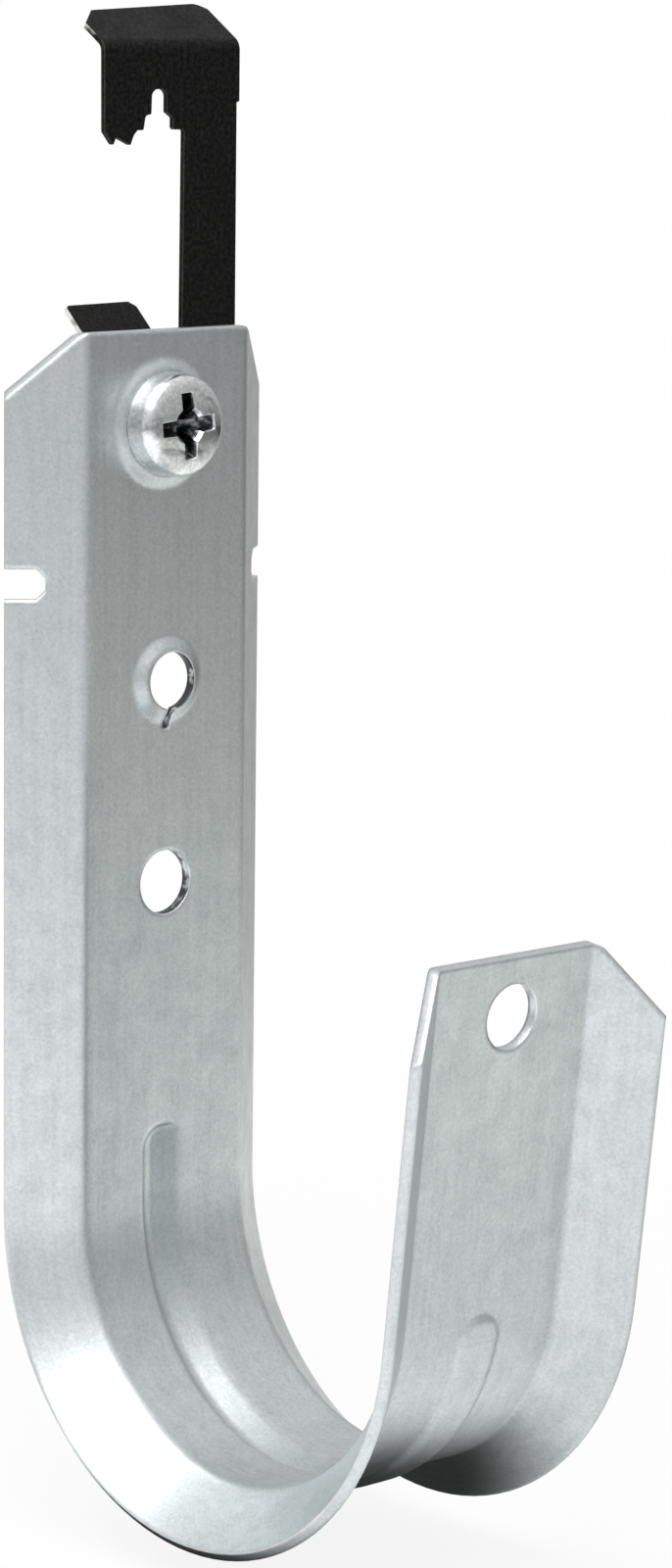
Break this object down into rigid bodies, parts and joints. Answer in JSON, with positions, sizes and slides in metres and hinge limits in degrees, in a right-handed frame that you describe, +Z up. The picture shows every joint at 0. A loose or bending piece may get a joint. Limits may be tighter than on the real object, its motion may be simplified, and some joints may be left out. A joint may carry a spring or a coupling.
{
  "type": "j hook cable support",
  "caption": "Flanged sheet steel J hook that carries a cable bundle, with a screwed-on spring clip that grips a ceiling wire or rod.",
  "frame": {"origin": "Axis of the plain fixing hole, on the back face of the hook's web", "axes": "+Z up, +Y towards the wall, rod or wire behind the hook, -Y the open mouth of the hook, +X to the right seen from the front"},
  "size_m": [0.0368, 0.0698, 0.1645],
  "materials": {
    "galvanised_sheet": "satin",
    "black_spring_steel": "satin",
    "zinc_plated_screw": "bright"
  },
  "bodies": {
    "root": {"j_hook": "galvanised_sheet", "spring_clip": "black_spring_steel", "pan_head_screw": "zinc_plated_screw"}
  },
  "joints": []
}
